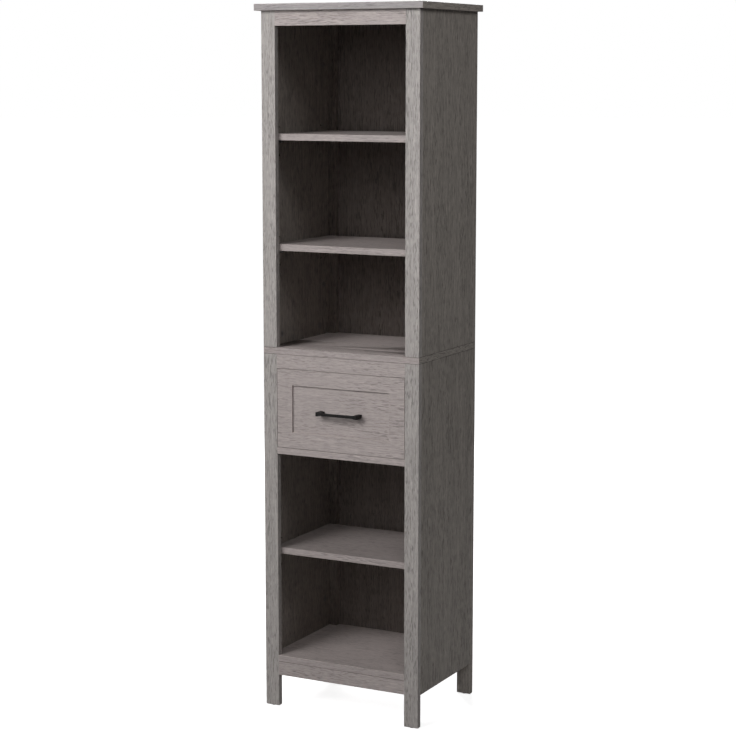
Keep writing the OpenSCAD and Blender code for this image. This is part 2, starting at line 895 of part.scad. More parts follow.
// Square with rounded corners at its +y end, between the corners a and b
module rounded_end(a, b, r) {
    translate(a) square([b.x - a.x, b.y - a.y - r]);
    translate([a.x + r, a.y]) square([b.x - a.x - 2 * r, b.y - a.y]);
    for (x = [a.x + r, b.x - r]) translate([x, b.y - r]) circle(r);
}

// Handle: a bow in plan, thinned in front view along the grip and thick at both feet
module drawer_handle() {
    span = handle_half_l - foot_w;
    thin = handle_pitch / 2 - flare_l;
    gap_depth = handle_reach - grip_t;
    color(black_metal) place() difference() {
        intersection() {
            translate([0, recess_depth, handle_z - foot_h / 2]) mirror([0, 1, 0])
                linear_extrude(foot_h) difference() {
                    rounded_end([-handle_half_l, 0], [handle_half_l, handle_reach], handle_bend_r);
                    rounded_end([-span, -eps], [span, gap_depth], handle_bend_r);
                }
            extrude_y(handle_front_y - eps, recess_depth + eps)
                translate([0, handle_z]) polygon([
                    for (s = [-1, 1]) each [
                        [s * handle_half_l, -s * foot_h / 2], [s * handle_half_l, s * foot_h / 2],
                        [s * handle_pitch / 2, s * foot_h / 2], [s * thin, s * grip_h / 2],
                        [-s * thin, s * grip_h / 2], [-s * handle_pitch / 2, s * foot_h / 2]
                    ]
                ]);
        }
        for (p = handle_screws_at)
            rod(p, [0, -1, 0], screw_d, 0, board_t - recess_depth + handle_screw_depth + fit_gap);
    }
}

module handle_screws() {
    color(zinc) place() for (p = handle_screws_at)
        pan_screw(p, [0, -1, 0], board_t - recess_depth + handle_screw_depth, head_t = 2.4);
}

module drawer_box_screws() {
    color(zinc) place() both_sides() for (z = box_joint_z)
        flush_screw([box_x, box_screw_y, z], [-1, 0, 0], box_screw_l);
}

module drawer_runner_screws() {
    color(zinc) place() both_sides() for (y = flange_screw_y)
        pan_screw([box_x - box_t / 2, y, box_z - steel_t], [0, 0, 1], flange_screw_l);
}

module drawer_cam_locks() {
    color(zinc) place() both_sides() for (j = drawer_cams) cam_lock(j, box_t);
}

module drawer_cam_bolts() {
    color(steel) place() both_sides() for (j = drawer_cams) cam_bolt(j);
}

// Fasteners of the carcass

module carcass_cam_locks() {
    color(zinc) place() both_sides() for (j = carcass_cams) cam_lock(j, board_t);
}

module carcass_cam_bolts() {
    color(steel) place() both_sides() for (j = carcass_cams) cam_bolt(j);
}

module wood_dowels() {
    color(birch) place() both_sides() for (j = carcass_dowels) dowel(j);
}

module shelf_pins() {
    color(steel) place() both_sides() for (z = shelf_z, y = pin_y) {
        centre = [inner_x, y, z - pin_head_d / 2];
        rod(centre, [1, 0, 0], pin_d, -eps, pin_depth);
        rod(centre, [-1, 0, 0], pin_head_d, 0, pin_head_l);
    }
}

module batten_screws() {
    color(zinc) place() both_sides() for (y = batten_screw_y)
        flush_screw([stile_x, y, batten_screw_z], [1, 0, 0], batten_screw_l);
}

module cabinet_runner_screws() {
    color(zinc) place() both_sides() for (y = runner_screw_y)
        pan_screw([channel_x, y, roller_z], [1, 0, 0], runner_screw_l);
}

module back_nails() {
    r = nail_d / 2;
    color(steel) place() both_sides() for (n = concat(upper_nails, lower_nails))
        translate([n.x, body_d + back_t, n.y]) along([0, -1, 0]) rotate_extrude()
            polygon([
                [0, -nail_head_t], [2 * r, -nail_head_t], [2.4 * r, 0], [r, 0],
                [r, nail_l - 2], [0, nail_l]
            ]);
}

module leg_glides() {
    r = nail_d / 2;
    color(dark_plastic) place() both_sides() for (y = [board_t / 2, rear_y + board_t / 2])
        translate([stile_x + stile_w / 2, y, 0]) rotate_extrude()
            polygon([
                [0, 0], [glide_d / 2 - 0.5, 0], [glide_d / 2, 0.5], [glide_d / 2, glide_h],
                [r, glide_h], [r, glide_h + nail_l - 3], [0, glide_h + nail_l - 1]
            ]);
}

top_panel();
mid_board();
drawer_divider();
bottom_panel();
upper_side_left();
upper_side_right();
lower_side_left();
lower_side_right();
upper_front_stile_left();
upper_front_stile_right();
front_leg_left();
front_leg_right();
upper_rear_stile_left();
upper_rear_stile_right();
rear_leg_left();
rear_leg_right();
top_rail();
drawer_rail();
apron_rail();
high_shelf();
middle_shelf();
lower_shelf();
upper_back_panel();
lower_back_panel();
runner_batten_left();
runner_batten_right();
cabinet_runner_left();
cabinet_runner_right();
cabinet_roller_left();
cabinet_roller_right();
drawer_runner_left();
drawer_runner_right();
drawer_roller_left();
drawer_roller_right();
drawer_front();
drawer_side_left();
drawer_side_right();
drawer_back();
drawer_bottom();
drawer_handle();
handle_screws();
drawer_box_screws();
drawer_runner_screws();
drawer_cam_locks();
drawer_cam_bolts();
carcass_cam_locks();
carcass_cam_bolts();
wood_dowels();
shelf_pins();
batten_screws();
cabinet_runner_screws();
back_nails();
leg_glides();
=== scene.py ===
"""Finishes for a free-standing bathroom storage tower in grey wood-grain boards.

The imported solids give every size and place. Each operator makes one kind of piece from them,
and the last one sets up the floor, the lamps and the camera.
"""

import json
import math

import bmesh
import bpy
from mathutils import Matrix, Vector


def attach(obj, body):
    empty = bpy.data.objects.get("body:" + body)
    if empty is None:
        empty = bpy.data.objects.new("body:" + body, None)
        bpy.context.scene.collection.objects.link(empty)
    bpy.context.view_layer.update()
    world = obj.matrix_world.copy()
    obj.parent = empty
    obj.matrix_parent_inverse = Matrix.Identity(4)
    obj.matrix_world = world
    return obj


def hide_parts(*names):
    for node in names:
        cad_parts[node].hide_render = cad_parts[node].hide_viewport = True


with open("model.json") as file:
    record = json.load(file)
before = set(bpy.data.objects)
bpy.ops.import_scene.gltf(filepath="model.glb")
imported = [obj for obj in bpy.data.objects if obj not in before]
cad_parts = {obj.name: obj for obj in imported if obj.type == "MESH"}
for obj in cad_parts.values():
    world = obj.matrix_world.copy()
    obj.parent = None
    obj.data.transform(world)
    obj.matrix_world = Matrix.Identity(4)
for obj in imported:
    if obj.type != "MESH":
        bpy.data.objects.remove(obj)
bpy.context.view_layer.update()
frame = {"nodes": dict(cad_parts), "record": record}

bl_info = {
    "name": "Storage tower finishes",
    "version": (1, 0, 0),
    "blender": (4, 5, 0),
    "location": "3D View > Sidebar > Tower",
    "description": "Eased boards, fittings and procedural finishes for a tall storage tower",
    "category": "Object",
}

# Places of the real piece in mm: x from the middle to the right, y from the front face of the
# stiles to the back, z from the floor
FRONT_Y = -142.6  # front face of the stiles, from the middle of the footprint
SIDE_X = 185.0  # inner faces of the side panels
SIDE_Y = (15.0, 287.0)  # front and rear edges of the side panels
STILE_X = 165.0  # inner edges of the stiles
BACK_Y = 304.5  # rear face of the back panels
BOARD_T = 15.0  # thickness of the carcass boards
BOTTOM_Z, DIVIDER_Z = 110.0, 609.0  # undersides of the bottom panel and the divider
MID_Z, UPPER_Z, TOP_Z = 843.0, 858.0, 1623.0  # mid board's two faces, top panel's underside
# The eased faces at these heights carry a painted dark line: painted shade in the crack where the
# boards meet.
JOINTS_Z = (BOTTOM_Z, MID_Z, UPPER_Z)  # heights at which two flush boards meet
JOINT_REACH = 0.8  # half the height of the dark line along such a joint
SHELVES_Z = (1332.5, 1080.5, 367.5)  # undersides of the loose shelves
CAM_REACH = 24.0  # joint face to the middle of a cam lock
BOARD_CAMS_Y = (60.0, 242.0)  # cam locks between level boards and side panels
BOX_X = (140.5, 152.5)  # inner and outer faces of the drawer's sides
BOX_JOINTS_Z = (674.0, 734.0)  # cam locks and screws of the drawer box
ROLLER_Z = 653.3  # axles of the rollers
STEEL_T = 1.2  # sheet of the runners
SMOOTH_ANGLE = 35.0  # degrees by which neighbouring faces of a round part may turn

LEFT, RIGHT = Vector((-1, 0, 0)), Vector((1, 0, 0))
BACK, DOWN = Vector((0, 1, 0)), Vector((0, 0, -1))


def place(x, y, z):
    """A point of the scene, in metres, from a place in mm."""
    return Vector((x, y + FRONT_Y, z)) / 1000


# ---------------------------------------------------------------- settings


class BoardSettings(bpy.types.PropertyGroup):
    """Sizes and colours of the wood-grain boards."""

    tint: bpy.props.FloatVectorProperty(
        name="Upright tint", description="Mean colour of boards whose grain runs up",
        subtype="COLOR", size=3, default=(0.372, 0.345, 0.330), min=0, max=1)
    # Warmer than the upright tint: a painted warm cast that stands for the warm light on the
    # shaded sides. The rear stiles, the rear legs and the board ends take it too.
    side_tint: bpy.props.FloatVectorProperty(
        name="Side tint", description="Mean colour of the side panels",
        subtype="COLOR", size=3, default=(0.381, 0.345, 0.314), min=0, max=1)
    level_tint: bpy.props.FloatVectorProperty(
        name="Level tint", description="Mean colour of boards whose grain runs across",
        subtype="COLOR", size=3, default=(0.393, 0.344, 0.332), min=0, max=1)
    back_tint: bpy.props.FloatVectorProperty(
        name="Back print tint", description="Mean colour of the printed face of the back panels",
        subtype="COLOR", size=3, default=(0.285, 0.246, 0.226), min=0, max=1)
    hardboard: bpy.props.FloatVectorProperty(
        name="Hardboard", description="Colour of the bare rear face of the back panels",
        subtype="COLOR", size=3, default=(0.330, 0.222, 0.140), min=0, max=1)
    ease: bpy.props.FloatProperty(
        name="Eased edge", description="Radius on the long edges of each board",
        subtype="DISTANCE", unit="LENGTH", default=0.0006, min=0.0001, max=0.002)
    grain: bpy.props.FloatProperty(
        name="Grain contrast", description="Strength of the printed streaks",
        subtype="FACTOR", default=1.0, min=0, max=2)
    pores: bpy.props.FloatProperty(
        name="Pore depth", description="Depth of the pressed pores",
        subtype="DISTANCE", unit="LENGTH", default=0.00012, min=0, max=0.001, precision=5)


class FittingSettings(bpy.types.PropertyGroup):
    """Colours and sizes of the handle, the runners and the fasteners."""

    black: bpy.props.FloatVectorProperty(
        name="Handle", description="Colour of the handle's powder coat",
        subtype="COLOR", size=3, default=(0.0070, 0.0060, 0.0056), min=0, max=1)
    handle_ease: bpy.props.FloatProperty(
        name="Handle edge", description="Radius on the edges of the handle",
        subtype="DISTANCE", unit="LENGTH", default=0.0007, min=0.0001, max=0.002)
    runner: bpy.props.FloatVectorProperty(
        name="Runner paint", description="Colour of the runners' powder coat",
        subtype="COLOR", size=3, default=(0.66, 0.65, 0.61), min=0, max=1)
    zinc: bpy.props.FloatVectorProperty(
        name="Zinc", description="Colour of the zinc-plated screws",
        subtype="COLOR", size=3, default=(0.60, 0.61, 0.62), min=0, max=1)
    nylon: bpy.props.FloatVectorProperty(
        name="Nylon", description="Colour of the rollers",
        subtype="COLOR", size=3, default=(0.78, 0.77, 0.73), min=0, max=1)
    slot_turn: bpy.props.FloatProperty(
        name="Cross turn", description="Most that a screw's cross is turned from upright",
        subtype="ANGLE", unit="ROTATION", default=math.radians(85), min=0, max=math.pi)


class StageSettings(bpy.types.PropertyGroup):
    """Lamps, floor and camera."""

    key: bpy.props.FloatProperty(
        name="Key lamp", description="Power of the soft lamp high in front",
        subtype="POWER", unit="POWER", default=3.6, min=0)
    low: bpy.props.FloatProperty(
        name="Low lamp", description="Power of the wide lamp at the left in front",
        subtype="POWER", unit="POWER", default=18.8, min=0)
    fill: bpy.props.FloatProperty(
        name="Fill lamp", description="Power of the wide lamp at the right in front",
        subtype="POWER", unit="POWER", default=11.4, min=0)
    side: bpy.props.FloatProperty(
        name="Side lamp", description="Power of the lamp high on the right",
        subtype="POWER", unit="POWER", default=4.2, min=0)
    left: bpy.props.FloatProperty(
        name="Left lamp", description="Power of the lamp that lights the left side panels",
        subtype="POWER", unit="POWER", default=5.0, min=0)
    inner: bpy.props.FloatProperty(
        name="Inner lamp", description="Power of the lamp for the insides of the compartments",
        subtype="POWER", unit="POWER", default=3.1, min=0)
    cross: bpy.props.FloatProperty(
        name="Cross lamp", description="Power of the lamp across the mouths of the compartments",
        subtype="POWER", unit="POWER", default=5.4, min=0)
    rear: bpy.props.FloatProperty(
        name="Rear lamp", description="Power of the lamp behind",
        subtype="POWER", unit="POWER", default=58.0, min=0)
    air: bpy.props.FloatProperty(
        name="Room light", description="Light from all round",
        subtype="FACTOR", default=0.004, min=0, max=1)
    focal: bpy.props.FloatProperty(
        name="Focal length", description="Focal length on a 36 mm sensor",
        subtype="DISTANCE_CAMERA", unit="CAMERA", default=96.7, min=20, max=300)


# ---------------------------------------------------------------- shader maths


class Value:
    """A shader output that takes part in arithmetic by adding Math nodes."""

    def __init__(self, recipe, socket):
        self.recipe, self.socket = recipe, socket

    def _maths(self, operation, a, b):
        return self.recipe.node("ShaderNodeMath", {"operation": operation}, {0: a, 1: b})

    def __add__(self, other):
        return self._maths("ADD", self, other)

    def __radd__(self, other):
        return self._maths("ADD", other, self)

    def __sub__(self, other):
        return self._maths("SUBTRACT", self, other)

    def __rsub__(self, other):
        return self._maths("SUBTRACT", other, self)

    def __mul__(self, other):
        return self._maths("MULTIPLY", self, other)

    def __rmul__(self, other):
        return self._maths("MULTIPLY", other, self)


class Recipe:
    """A material under construction. node() adds any node and returns one of its outputs."""

    def __init__(self, name):
        self.material = bpy.data.materials.new(name)
        self.material.use_nodes = True
        self.tree = self.material.node_tree
        self.tree.nodes.clear()
        self.axes = None  # the object's coordinates, made when first asked for

    def node(self, kind, settings=None, sockets=None, output=0):
        """A new node of a kind, with its settings and the values or links of its sockets."""
        node = self.tree.nodes.new(kind)
        for name, value in (settings or {}).items():
            setattr(node, name, value)
        for name, value in (sockets or {}).items():
            socket = node.inputs[name]
            if isinstance(value, Value):
                self.tree.links.new(value.socket, socket)
            else:
                socket.default_value = value
        return Value(self, node.outputs[output])

    def axis(self, index):
        """One coordinate of the object, in metres."""
        if self.axes is None:
            where = self.node("ShaderNodeTexCoord", output="Object")
            self.axes = [
                self.node("ShaderNodeSeparateXYZ", {}, {0: where}, output=i) for i in range(3)]
        return self.axes[index]

    def axes_from(self, seed=0.0):
        """The three coordinates of the object, the first one moved on by a seed."""
        return (self.axis(0) + seed if seed else self.axis(0)), self.axis(1), self.axis(2)

    def vector(self, x, y, z):
        return self.node("ShaderNodeCombineXYZ", {}, {0: x, 1: y, 2: z})

    def attribute(self, name):
        """A number that the mesh keeps for each face."""
        return self.node("ShaderNodeAttribute", {"attribute_name": name}, output="Fac")

    def sine(self, value):
        return self.node("ShaderNodeMath", {"operation": "SINE"}, {0: value})

    def noise(self, where, detail=2.0, roughness=0.5, distortion=0.0):
        return self.node("ShaderNodeTexNoise", {"noise_dimensions": "3D"}, {
            "Vector": where, "Scale": 1.0, "Detail": detail, "Roughness": roughness,
            "Distortion": distortion})

    def specks(self, where, density, detail=2.0, roughness=0.5, distortion=0.0):
        """Noise over three coordinates, with a density in cells per metre for each or for all."""
        each = density if isinstance(density, tuple) else (density,) * 3
        scaled = self.vector(*(axis * cells for axis, cells in zip(where, each)))
        return self.noise(scaled, detail, roughness, distortion)

    def band(self, value, low, high, start=0.0, end=1.0):
        """value taken smoothly from low..high to start..end, and held outside."""
        return self.node("ShaderNodeMapRange", {"interpolation_type": "SMOOTHSTEP"}, {
            "Value": value, "From Min": low, "From Max": high, "To Min": start, "To Max": end})

    def clip(self, value, low=0.0, high=1.0):
        """value held between low and high."""
        return self.node("ShaderNodeClamp", {}, {"Value": value, "Min": low, "Max": high})

    def blend(self, factor, a, b, how="MIX"):
        """Colour a turned towards b."""
        node = self.tree.nodes.new("ShaderNodeMix")
        node.data_type, node.blend_type = "RGBA", how
        for socket, value in zip([node.inputs[i] for i in (0, 6, 7)], (factor, a, b)):
            if isinstance(value, Value):
                self.tree.links.new(value.socket, socket)
            else:
                socket.default_value = value
        return Value(self, node.outputs[2])

    def bump(self, height, distance, strength=1.0):
        return self.node("ShaderNodeBump", {}, {
            "Height": height, "Distance": distance, "Strength": strength})

    def finish(self, sockets):
        """The surface shader with these sockets, joined to the output."""
        shader = self.node("ShaderNodeBsdfPrincipled", {}, sockets)
        out = self.tree.nodes.new("ShaderNodeOutputMaterial")
        self.tree.links.new(shader.socket, out.inputs["Surface"])
        return self.material


def colour(rgb, factor=1.0):
    """An opaque shader colour: rgb, lighter or darker by a factor."""
    return (rgb[0] * factor, rgb[1] * factor, rgb[2] * factor, 1.0)


# ---------------------------------------------------------------- finishes


def laminate(name, along, face, seed, tint, contrast=1.0, edge_tint=(1, 1, 1)):
    """Printed wood grain with pressed pores. along and face are axes 0 to 2: the grain's and
    the broad face's. edge_tint multiplies the colour of the faces that aren't broad."""
    look = bpy.context.scene.tower_boards
    strength = look.grain * contrast
    across = 3 - along - face
    r = Recipe(name)
    t, w = r.axis(across) + 0.37 * seed, r.axis(face) + 0.11 * seed
    s = r.axis(along) + 1.7 * seed
    # The streaks drift sideways by a few mm as they run
    u = t + (r.specks((t, w, s), (5.0, 5.0, 3.0)) - 0.5) * 0.014

    def grain(thin, run, detail, roughness=0.5):
        """Noise stretched along the grain: streaks 1 / thin wide and 1 / run long, in metres."""
        return r.specks((u, w, s), (thin, thin, run), detail, roughness) - 0.5

    # Printed layers from broad to fine, with densities in streaks per metre
    tone = grain(26.0, 1.3, 3.0)
    streak = grain(460.0, 13.0, 3.0, 0.62)
    fibre = grain(1400.0, 70.0, 2.0, 0.6)
    open_grain = r.band(grain(45.0, 6.0, 2.0), -0.10, 0.14)
    dash = r.band(grain(540.0, 60.0, 1.0), 0.02, 0.14) * (0.45 + open_grain * 0.55)
    gleam = r.band(grain(520.0, 54.0, 1.0), -0.16, -0.04, 1.0, 0.0)
    pore = r.band(grain(950.0, 130.0, 1.0), 0.05, 0.18)
    flame = r.specks((t, w, s), (7.0, 7.0, 0.75), 1.0, 0.4)
    rings = r.sine(u * 420.0 + flame * 46.0)
    level = r.clip(
        0.56 + tone * (0.26 * strength) + rings * (0.018 * strength) + streak * (1.25 * strength)
        + fibre * (0.40 * strength) - dash * (0.62 * strength) + gleam * (0.24 * strength)
        - pore * (0.16 * strength))
    base = r.blend(level, colour(tint, 0.60), colour(tint, 1.36))
    base = r.blend(r.attribute("narrow"), base, colour(edge_tint), "MULTIPLY")
    edge = r.attribute("ease")
    # Paler eased edges: partly rubbed wear, partly a painted highlight along the arrises.
    edge_mottle = r.band(r.specks((t, w, s), 60.0, 3.0, 0.6), 0.30, 0.62, 0.25, 1.0)
    base = r.blend(edge * edge_mottle * 0.55, base, colour(tint, 1.42))
    # Painted shade: the eased faces where two flush boards meet are painted near black, the shade
    # in the crack between them.
    base = r.blend(r.attribute("joint") * (edge_mottle * 0.3 + 0.5), base, colour(tint, 0.12))
    height = (streak * 0.5 + fibre * 0.3) - dash * 0.8 - pore * 0.6
    return r.finish({
        "Base Color": base,
        "Roughness": r.clip(0.50 + dash * 0.16 + tone * 0.10 - edge * 0.06, 0.3, 0.8),
        "Normal": r.bump(height, look.pores, 0.8),
        "Specular IOR Level": 0.35,
    })


def hardboard(name):
    """Bare pressed-fibre board with the mesh print of the press on it."""
    look = bpy.context.scene.tower_boards
    r = Recipe(name)
    x, y, z = where = r.axes_from()
    cloud = r.specks(where, 7.0, 4.0, 0.6)
    fibre = r.specks(where, 190.0, 6.0, 0.75, 1.4)
    chip = r.band(r.specks(where, (420.0, 420.0, 300.0)), 0.58, 0.70)
    pale = r.band(r.noise(r.vector(x * 310.0, y * 310.0, z * 420.0 + 7.0)), 0.60, 0.72)
    wires = [r.sine(axis * 3600.0) for axis in (x, z)]
    level = r.clip(0.46 + (cloud - 0.5) * 0.7 + (fibre - 0.5) * 1.1 - chip * 0.34 + pale * 0.30)
    base = r.blend(level, colour(look.hardboard, 0.60), colour(look.hardboard, 1.42))
    return r.finish({
        "Base Color": base,
        "Roughness": r.clip(0.74 + (fibre - 0.5) * 0.24, 0.55, 0.95),
        "Normal": r.bump(wires[0] * wires[1] * 0.5 + fibre, 0.00016, 0.8),
        "Specular IOR Level": 0.3,
    })


def raw_timber(name, along, seed, tint):
    """Planed pale timber, with growth rings that run along one axis."""
    r = Recipe(name)
    a, b = [axis for axis in range(3) if axis != along]
    p, q, s = where = r.axis(a) + 0.05 * seed, r.axis(b) - 0.07 * seed, r.axis(along)
    wobble = r.specks(where, (20.0, 20.0, 2.0))
    rings = r.sine(p * 1500.0 + wobble * 22.0)
    fibre = r.specks(where, (1200.0, 1200.0, 30.0), 4.0, 0.6)
    dash = r.band(r.specks(where, (900.0, 900.0, 60.0), 1.0), 0.60, 0.72)
    level = r.clip(0.55 + rings * 0.14 + (fibre - 0.5) * 0.7 - dash * 0.25)
    return r.finish({
        "Base Color": r.blend(level, colour(tint, 0.62), colour(tint, 1.12)),
        "Roughness": r.clip(0.62 + (fibre - 0.5) * 0.2, 0.45, 0.8),
        "Normal": r.bump(fibre + rings * 0.3, 0.0001, 0.7),
        "Specular IOR Level": 0.3,
    })


def plated(name, tint, rough, seed, metal=1.0):
    """Plated metal: a cloudy sheen, fine scratches and dull spots."""
    r = Recipe(name)
    where = r.axes_from(seed)
    cloud = r.specks(where, 120.0, 4.0, 0.6)
    scratch = r.band(r.specks(where, (2600.0, 300.0, 500.0)), 0.58, 0.70)
    spot = r.band(r.specks(where, 900.0, 3.0, 0.6), 0.60, 0.74)
    level = r.clip(0.62 + (cloud - 0.5) * 0.8 - spot * 0.4 + scratch * 0.25)
    return r.finish({
        "Base Color": r.blend(level, colour(tint, 0.55), colour(tint, 1.12)),
        "Metallic": metal - spot * 0.25,
        "Roughness": r.clip(
            rough + (cloud - 0.5) * 0.24 + spot * 0.2 - scratch * 0.06, 0.12, 0.85),
        "Normal": r.bump(cloud * 0.4 - scratch * 0.6, 0.00004, 0.7),
    })


def powder_coat(name, tint, rough, lift, wear, shine=0.45):
    """Powder coat: a fine orange peel, a little dust and rubbed edges. lift is the lightest
    part of the coat against its tint, and wear is how far a rubbed edge turns pale."""
    r = Recipe(name)
    where = r.axes_from()
    peel = r.specks(where, 1400.0)
    haze = r.specks(where, (55.0, 90.0, 90.0), 4.0, 0.6)
    grit = r.band(r.specks(where, 2400.0, 1.0), 0.58, 0.72)
    level = r.clip(0.4 + (haze - 0.5) * 0.7 + (peel - 0.5) * 0.4 + grit * 0.2)
    base = r.blend(level, colour(tint, 0.78), colour(tint, lift))
    edge_mottle = r.band(r.specks(where, 260.0, 3.0, 0.6), 0.34, 0.66)
    base = r.blend(
        r.attribute("ease") * edge_mottle * wear, base, colour([v * 1.4 + 0.012 for v in tint]))
    return r.finish({
        "Base Color": base,
        "Roughness": r.clip(rough + (haze - 0.5) * 0.16 + grit * 0.08, 0.2, 0.9),
        "Normal": r.bump(peel + grit * 0.5, 0.00005, 0.8),
        "Specular IOR Level": shine,
    })


def moulded(name, tint, rough):
    """Moulded plastic with a faint texture and scuffs."""
    r = Recipe(name)
    where = r.axes_from()
    spark = r.specks(where, 1800.0)
    cloud = r.specks(where, 150.0, 3.0, 0.6)
    scuff = r.band(r.specks(where, (320.0, 1300.0, 900.0)), 0.58, 0.72)
    level = r.clip(0.5 + (cloud - 0.5) * 0.6 + (spark - 0.5) * 0.2 + scuff * 0.2)
    return r.finish({
        "Base Color": r.blend(level, colour(tint, 0.80), colour(tint, 1.16)),
        "Roughness": r.clip(rough + (cloud - 0.5) * 0.2 + scuff * 0.12, 0.25, 0.9),
        "Normal": r.bump(spark - scuff * 0.5, 0.00005, 0.6),
    })


# ---------------------------------------------------------------- mesh helpers


def body_of(node):
    """The body that a CAD node moves with."""
    bodies = frame["record"]["behaviour"]["bodies"]
    return next(name for name, nodes in bodies.items() if node in nodes)


def slot_of(node):
    """The material slot of a CAD node."""
    return next(p["material_slot"] for p in frame["record"]["subparts"] if p["node"] == node)


def add(name, data):
    """A new object in the scene, with a mesh, a lamp or a camera as its data."""
    thing = bpy.data.objects.new(name, data)
    bpy.context.scene.collection.objects.link(thing)
    return thing


def show(mesh, name, nodes, materials, body=None):
    """A mesh as a finished piece that stands for CAD nodes, hides them and rides with their body.
    Their material slot is looked up but not given to it."""
    piece = add(name, mesh)
    mesh.materials.clear()
    for material in materials:
        mesh.materials.append(material)
    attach(piece, body or body_of(nodes[0]))
    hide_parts(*nodes)
    slot_of(nodes[0])
    return piece


def shade_smooth(mesh, angle):
    """Smooth shading, with sharp edges where two faces meet at more than an angle in degrees."""
    mesh.set_sharp_from_angle(angle=math.radians(angle))
    for polygon in mesh.polygons:
        polygon.use_smooth = True


def merged(node):
    """A CAD node's solid as one closed mesh with whole faces."""
    bm = bmesh.new()
    bm.from_mesh(frame["nodes"][node].data)
    bmesh.ops.remove_doubles(bm, verts=bm.verts, dist=1e-6)
    bmesh.ops.dissolve_limit(
        bm, angle_limit=math.radians(0.5), verts=bm.verts[:], edges=bm.edges[:])
    return bm


def ease_edges(bm, radius, least, segments=3, sharp=50.0):
    """Rounds the outer edges that are longer than least and turn by more than sharp degrees, and
    marks the new faces with the attribute that wear, painted edge highlights and painted joint
    shade follow."""
    layer = bm.faces.layers.float.new("ease")
    edges = [
        e for e in bm.edges
        if len(e.link_faces) == 2 and e.is_convex and e.calc_length() > least
        and e.calc_face_angle() > math.radians(sharp)]
    made = bmesh.ops.bevel(
        bm, geom=edges, offset=radius, offset_type="OFFSET", segments=segments, profile=0.5,
        affect="EDGES", clamp_overlap=False)
    for face in made["faces"]:
        face[layer] = 1.0


def to_mesh(bm, name):
    """The BMesh as a plain mesh. The BMesh is freed."""
    mesh = bpy.data.meshes.new(name)
    bm.to_mesh(mesh)
    bm.free()
    return mesh


def board(node, material, rear=None, ends=None):
    """A board with eased edges. rear or ends, where given, is the material of the faces that look
    to the back, or to the two sides."""
    bm = merged(node)
    ease_edges(bm, bpy.context.scene.tower_boards.ease, least=0.006)
    narrow, joint = bm.faces.layers.float.new("narrow"), bm.faces.layers.float.new("joint")
    ease = bm.faces.layers.float["ease"]
    spans = [max(v.co[i] for v in bm.verts) - min(v.co[i] for v in bm.verts) for i in range(3)]
    broad = spans.index(min(spans))
    square_on = 0.9  # least part of a face's normal along the axis that it looks along
    for face in bm.faces:
        face[narrow] = float(abs(face.normal[broad]) < 0.5)
        height = face.calc_center_median().z * 1000
        face[joint] = float(
            face[ease] > 0.5 and any(abs(height - z) < JOINT_REACH for z in JOINTS_Z))
        if (rear and face.normal.y > square_on) or (ends and abs(face.normal.x) > square_on):
            face.material_index = 1
    mesh = to_mesh(bm, node + "_board")
    indices = [p.material_index for p in mesh.polygons]
    show(mesh, node + "_board", [node], [m for m in (material, rear or ends) if m])
    mesh.polygons.foreach_set("material_index", indices)


def smooth_part(node, name, material):
    """A metal, plastic or turned part with its curved faces shaded smooth."""
    mesh = to_mesh(merged(node), name)
    show(mesh, name, [node], [material])
    shade_smooth(mesh, SMOOTH_ANGLE)


def turned(name, profile, steps=24):
    """A closed turned part from (radius, height) pairs in mm, round Z."""
    bm = bmesh.new()
    rows = []
    for radius, height in profile:
        if radius == 0:
            rows.append([bm.verts.new((0, 0, height / 1000))])
        else:
            rows.append([
                bm.verts.new((
                    radius / 1000 * math.cos(2 * math.pi * k / steps),
                    radius / 1000 * math.sin(2 * math.pi * k / steps), height / 1000))
                for k in range(steps)])
    for a, b in zip(rows, rows[1:]):
        for k in range(steps):
            n = (k + 1) % steps
            corners = list(dict.fromkeys(
                (a[k % len(a)], a[n % len(a)], b[n % len(b)], b[k % len(b)])))
            if len(corners) > 2:
                bm.faces.new(corners)
    bmesh.ops.recalc_face_normals(bm, faces=bm.faces[:])
    return add(name, to_mesh(bm, name))


def cross_cut(thing, length, width, top, depth):
    """Sinks a tapered cross, in mm, into the face of a fastener at height top."""
    bm = bmesh.new()
    for turn in (0, 90):
        made = bmesh.ops.create_cube(bm, size=1)["verts"]
        for v in made:
            # The cross narrows to its floor, and its mouth stands clear of the face
            long, wide, height = (0.62, 0.8, top - depth) if v.co.z < 0 else (1.04, 1.0, top + 0.4)
            v.co = Vector((v.co.x * length * long, v.co.y * width * wide, height)) / 1000
        bmesh.ops.rotate(bm, verts=made, matrix=Matrix.Rotation(math.radians(turn), 3, "Z"))
    tool = add("cross_tool", to_mesh(bm, "cross_tool"))
    cut = thing.modifiers.new("Cross", "BOOLEAN")
    cut.operation, cut.object, cut.solver, cut.use_self = "DIFFERENCE", tool, "EXACT", True
    thing.data = baked_mesh(thing)
    thing.modifiers.clear()
    bpy.data.objects.remove(tool)
    return thing


def baked_mesh(thing):
    """The evaluated shape of an object as a plain mesh."""
    graph = bpy.context.evaluated_depsgraph_get()
    graph.update()
    return bpy.data.meshes.new_from_object(thing.evaluated_get(graph))


# ---------------------------------------------------------------- geometry nodes


